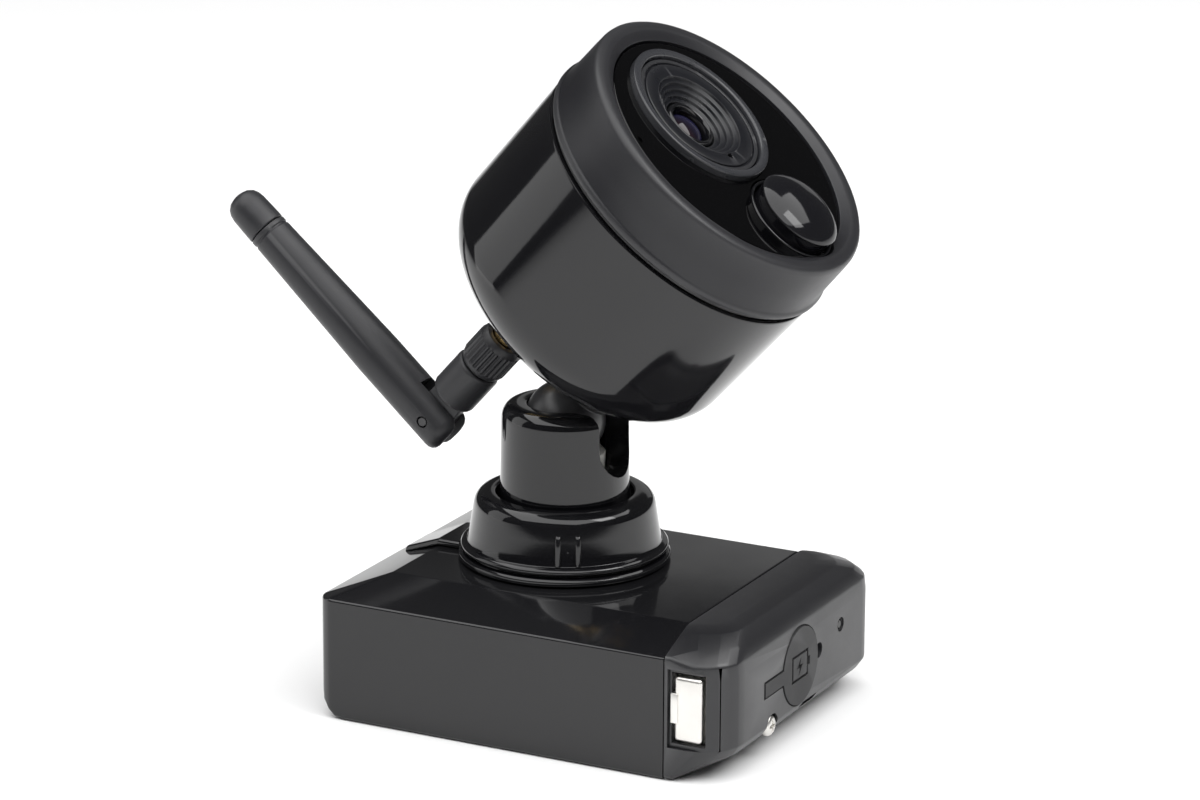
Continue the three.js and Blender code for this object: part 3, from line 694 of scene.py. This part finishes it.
# ---- Latch buttons
# A bright plated spring latch on each side of the end cap; both are pinched in to free the
# battery pack. The face is slightly raised with a wider thumb land beside the seam.
plated = moulding("plated_metal", (0.90, 0.88, 0.83), 0.32, 0.5, 0.002, 0.06, 0.1, metal=1.0)
for side, label in ((-1, "front"), (1, "rear")):
    flip = Matrix.Scale(-side, 4, (0, 1, 0))
    key_points = [(x, y, z) for x in (46.1, 50.6) for y in (-37.3, -36) for z in (9.7, 22.1)]
    key = to_piece(f"latch_key_{label}", point_hull(key_points, 0.9, 4), flip)
    dress(key, plated)
    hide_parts(f"latch_{label}")
    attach(key, f"{label}_latch")
    plate_points = [(x, y, z) for x in (44.3, 52.5) for y in (-35.0, -34.2) for z in (7.7, 24.1)]
    catch = to_piece(f"latch_catch_{label}", point_hull(plate_points, 0.2, 2), flip)
    dress(catch, plated)
    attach(catch, f"{label}_latch")
    land_points = [(x, -38.25, z) for x in (44.75, 46.0) for z in (12.9, 19.1)]
    land_points += [(x, -36.5, z) for x in (44.75, 46.0) for z in (12.9, 19.1)]
    land = to_piece(f"latch_land_{label}", point_hull(land_points, 0.2, 2), flip)
    dress(land, plated)
    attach(land, f"{label}_latch")

# ---- Charging port cover
# A soft rubber plug with a thin strap that stays anchored in the end cap. A plain battery
# outline with a bolt is sunk in its face.
cover_parts = moved(facing_x(disc_cutter(8.5, 56.35, 57.4)), 0, PORT_Y, PORT_Z)
port_cover = to_piece("rubber_port_cover", cover_parts)
carve(port_cover, block(56.35, 57.4, -19.6, -9, PORT_Z - 1.8, PORT_Z + 1.3),
      block(54.8, 56.6, PORT_Y - 4.2, PORT_Y + 4.2, PORT_Z - 1.6, PORT_Z + 1.6), keep="UNION")
mark = [block(56.9, 58, PORT_Y - 4.4, PORT_Y + 3.6, PORT_Z - 3.0, PORT_Z - 2.4),
        block(56.9, 58, PORT_Y - 4.4, PORT_Y + 3.6, PORT_Z + 2.4, PORT_Z + 3.0),
        block(56.9, 58, PORT_Y - 4.4, PORT_Y - 3.7, PORT_Z - 2.5, PORT_Z + 2.5),
        block(56.9, 58, PORT_Y + 2.9, PORT_Y + 3.6, PORT_Z - 2.5, PORT_Z + 2.5),
        block(56.9, 58, PORT_Y + 3.5, PORT_Y + 4.6, PORT_Z - 1.0, PORT_Z + 1.0)]
bolt = bmesh.new()
bolt_outline = [(0.5, 2.0), (-1.6, -0.3), (-0.2, -0.3), (-0.7, -2.0), (1.4, 0.3), (0.1, 0.3)]
bolt_ends = [[bolt.verts.new((x, PORT_Y - 0.4 + y, PORT_Z + z)) for y, z in bolt_outline]
             for x in (56.9, 58)]
for i in range(6):
    j = (i + 1) % 6
    bolt.faces.new((bolt_ends[0][i], bolt_ends[0][j], bolt_ends[1][j], bolt_ends[1][i]))
bolt.faces.new(bolt_ends[0])
bolt.faces.new(bolt_ends[1])
carve(port_cover, *mark, bolt)
ease_edges(port_cover, 0.12, 42)
dress(port_cover, rubber_black)
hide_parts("port_cover")
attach(port_cover, "cover")

# ---- Lock screw
# A small plated pan-head screw with a cross recess, seated in a half-round notch at the foot
# of the end cap. It stops the battery pack being pulled out.
screw_frame = Matrix.Translation((0, -15.6, 6.8)) @ Matrix.Rotation(math.pi / 2, 4, "Y")
screw = turned("pan_screw", [
    (0, 47.6), (1.2, 47.6), (1.2, 55.5), (2.1, 55.5), (2.3, 55.7), (2.3, 56.3), (2.1, 56.8),
    (1.6, 57.15), (0.9, 57.28), (0, 57.3)], 48, screw_frame)
carve(screw, block(56.5, 58, -16.9, -14.3, 6.5, 7.1), block(56.5, 58, -15.9, -15.3, 5.5, 8.1))
ease_edges(screw, 0.06, 40)
dress(screw, plated)
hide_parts("lock_screw")
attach(screw, "screw")

# ---- Battery cells
# Three standard rechargeable cells in shrink wrap, lying side by side in the pack tray. Each
# has a rolled groove near the end that carries its raised contact.
cell_wrap = moulding("cell_wrap", (0.02, 0.09, 0.26), 0.3, 0.7, 0.006, 0.07, 0.1)
for number in (1, 2, 3):
    low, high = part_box(f"battery_cell_{number}")
    middle_y, middle_z = (low.y + high.y) / 2 / MM, (low.z + high.z) / 2 / MM
    length, radius = (high.x - low.x) / MM, (high.z - low.z) / 2 / MM
    cell = turned(f"wrapped_cell_{number}", [
        (0, 0), (radius - 0.7, 0), (radius - 0.2, 0.15), (radius, 0.6), (radius, length - 5.4),
        (radius - 0.35, length - 4.9), (radius - 0.5, length - 4.4),
        (radius - 0.35, length - 3.9), (radius, length - 3.4), (radius, length - 1.2),
        (radius - 0.2, length - 0.75), (radius - 0.7, length - 0.6), (3.3, length - 0.6),
        (3.2, length - 0.1), (3.0, length), (0, length)], 72,
        Matrix.Translation((low.x / MM, middle_y, middle_z)) @ Matrix.Rotation(
            math.pi / 2, 4, "Y"))
    dress(ease_edges(cell, 0.05, 40), cell_wrap)
    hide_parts(f"battery_cell_{number}")
    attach(cell, "battery_pack")

# ---- Inside pieces
# Boards, contacts, springs and holders keep their CAD shapes. They get finished
# surfaces because they show when the battery pack slides out or through the sensor slot.
turned_brass = moulding("turned_brass", (0.62, 0.44, 0.18), 0.26, 0.2, 0.004, 0.06, 0.1, metal=1.0)
nylon = moulding("natural_nylon", (0.72, 0.71, 0.66), 0.42, 0.5, 0.01, 0.06, 0.0)
board = moulding("circuit_board", (0.014, 0.10, 0.045), 0.35, 0.8, 0.02, 0.08, 0.1)
tracks = board.node_tree.nodes.new("ShaderNodeTexBrick")
tracks.inputs["Scale"].default_value = 260
tracks.inputs["Color1"].default_value = (0.014, 0.10, 0.045, 1)
tracks.inputs["Color2"].default_value = (0.020, 0.135, 0.06, 1)
tracks.inputs["Mortar"].default_value = (0.05, 0.20, 0.08, 1)
spot = board.node_tree.nodes.new("ShaderNodeTexCoord")
board.node_tree.links.new(spot.outputs["Object"], tracks.inputs["Vector"])
board.node_tree.links.new(tracks.outputs["Color"],
                          board.node_tree.nodes["Principled BSDF"].inputs["Base Color"])
inside = {
    "circuit_board": (board, ["contact_board", "image_board", "motion_board", "charge_board"]),
    "brass": (turned_brass, ["bay_contact_1", "bay_contact_2", "bay_contact_3", "stem_insert",
                             "aerial_jack"]),
    "steel": (plated, ["mount_screw_1", "mount_screw_2", "mount_screw_3", "mount_screw_4",
                       "seat_spring", "microphone", "motion_sensor", "jack_washer",
                       "charge_socket"]),
    "nylon": (nylon, ["ball_seat"]),
    "satin": (satin_black, ["socket_plug", "image_sensor", "board_carrier", "motion_holder",
                            "pack_tray", "aerial_pin"]),
    "smoked": (smoked_acrylic, ["infrared_led_1", "infrared_led_2", "charge_light"]),
}
for material, names in inside.values():
    for name in names:
        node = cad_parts[name]
        for own_slot in node.material_slots:
            own_slot.material = material
        ease_edges(node, 0.12, 32)

# ---- Floor, light and camera
# A plain pale sheet under a large soft light, with a panel at each side and one behind. They
# are placed for the long reflections on the polished drum and the dark slopes of the base.
floor_mesh = bmesh.new()
bmesh.ops.create_grid(floor_mesh, x_segments=1, y_segments=1, size=4)
bmesh.ops.translate(floor_mesh, vec=(0, 0, -0.0002), verts=floor_mesh.verts)
floor_data = bpy.data.meshes.new("floor")
floor_mesh.to_mesh(floor_data)
floor_mesh.free()
floor = bpy.data.objects.new("floor", floor_data)
bpy.context.scene.collection.objects.link(floor)
paper = bpy.data.materials.new("pale_paper")
paper.use_nodes = True
paper.node_tree.nodes["Principled BSDF"].inputs["Base Color"].default_value = (0.9, 0.9, 0.9, 1)
paper.node_tree.nodes["Principled BSDF"].inputs["Roughness"].default_value = 0.9
floor.data.materials.append(paper)

world = bpy.data.worlds.new("studio")
world.use_nodes = True
world.node_tree.nodes["Background"].inputs["Color"].default_value = (1, 1, 1, 1)
world.node_tree.nodes["Background"].inputs["Strength"].default_value = 0.05
bpy.context.scene.world = world


def soft_light(name, place, aim, wide, high, brightness):
    """A softbox whose face has the same brightness whatever its size."""
    lamp = bpy.data.lights.new(name, "AREA")
    lamp.shape = "RECTANGLE"
    lamp.size = wide
    lamp.size_y = high
    lamp.energy = brightness * math.pi * wide * high
    holder = bpy.data.objects.new(name, lamp)
    holder.location = place
    holder.rotation_euler = (Vector(aim) - Vector(place)).to_track_quat("-Z", "Y").to_euler()
    bpy.context.scene.collection.objects.link(holder)


camera_middle = (0, 0, 0.1)
soft_light("overhead", (0.3, -0.75, 1.6), (0.3, -0.75, 0), 3.4, 2.8, 2.6)
soft_light("overhead_right", (1.2, 1.05, 1.6), (1.2, 1.05, 0), 1.6, 0.8, 2.6)
soft_light("left_panel", (-0.9, -0.35, 0.35), camera_middle, 0.5, 0.7, 1.3)
soft_light("right_panel", (0.9, 0, 1.0), camera_middle, 0.5, 0.6, 5.5)
soft_light("back_panel", (-0.5, 1.9, 0.45), camera_middle, 1.0, 0.5, 0.32)
bpy.context.scene.view_settings.view_transform = "Standard"

camera_data = bpy.data.cameras.new("camera")
camera_data.sensor_width = 36
camera_data.lens = 150
camera_data.clip_start = 0.05
camera_data.shift_x = 0.000292
camera_data.shift_y = 0.003717
camera = bpy.data.objects.new("camera", camera_data)
azimuth, elevation, roll = (math.radians(a) for a in (27.08, 16.64, -0.29))
back = Vector((math.sin(azimuth) * math.cos(elevation), -math.cos(azimuth) * math.cos(elevation),
               math.sin(elevation)))
aim_point, camera_distance = Vector((8.28, 0, 65.88)) * MM, 1.0622
camera.location = aim_point + back * camera_distance
camera.rotation_mode = "QUATERNION"
camera.rotation_quaternion = (-back).to_track_quat("-Z", "Y") @ Matrix.Rotation(
    -roll, 4, "Z").to_quaternion()
bpy.context.scene.collection.objects.link(camera)
bpy.context.scene.camera = camera
